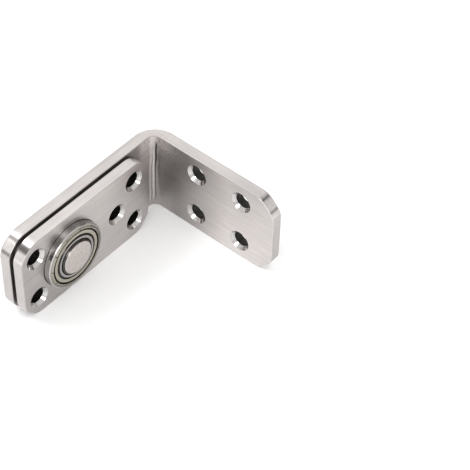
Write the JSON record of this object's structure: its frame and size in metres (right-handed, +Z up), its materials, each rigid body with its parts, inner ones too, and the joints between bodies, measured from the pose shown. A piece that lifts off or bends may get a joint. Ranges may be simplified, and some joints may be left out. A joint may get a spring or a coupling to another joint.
{
  "type": "pivot hinge",
  "caption": "Pivot hinge of satin steel plate: an angle bracket carries a flat door leaf that turns on a pin in a shielded ball bearing, with countersunk screw holes.",
  "frame": {"origin": "on the pivot axis, at the outer face of the bracket's pivot leg", "axes": "+X along the pivot pin towards the front of the bearing, +Y from the pin towards the frame leg, +Z up across the plates' width, with the hinge standing on its long edges"},
  "size_m": [0.0853, 0.1103, 0.05],
  "materials": {
    "plate_steel": "satin, fine grain",
    "pin_steel": "turned, matt end",
    "spacer_steel": "turned",
    "ring_steel": "ground bright",
    "shield_steel": "matt pressed sheet",
    "cage_steel": "pressed sheet",
    "ball_steel": "polished"
  },
  "bodies": {
    "frame": {"frame_bracket": "plate_steel", "pivot_pin": "pin_steel", "spacer_ring": "spacer_steel", "bearing_inner_ring": "ring_steel"},
    "leaf": {"door_leaf": "plate_steel", "bearing_outer_ring": "ring_steel", "bearing_shield_front": "shield_steel", "bearing_shield_rear": "shield_steel"},
    "ball_set": {"ball_01": "ball_steel", "ball_02": "ball_steel", "ball_03": "ball_steel", "ball_04": "ball_steel", "ball_05": "ball_steel", "ball_06": "ball_steel", "ball_07": "ball_steel", "ball_08": "ball_steel", "ball_09": "ball_steel", "ball_10": "ball_steel", "ball_11": "ball_steel", "ball_12": "ball_steel", "cage_half_front": "cage_steel", "cage_half_rear": "cage_steel", "cage_rivets": "cage_steel"}
  },
  "joints": [
    {"name": "leaf_turn", "type": "hinge", "parent": "frame", "child": "leaf", "pos_m": [0.0136, 0, 0], "axis": [1, 0, 0], "continuous": true},
    {"name": "ball_orbit", "type": "hinge", "parent": "frame", "child": "ball_set", "pos_m": [0.0136, 0, 0], "axis": [1, 0, 0], "continuous": true}
  ],
  "couplings": [
    {"joint": "ball_orbit", "follows": "leaf_turn", "ratio": 0.5836}
  ]
}
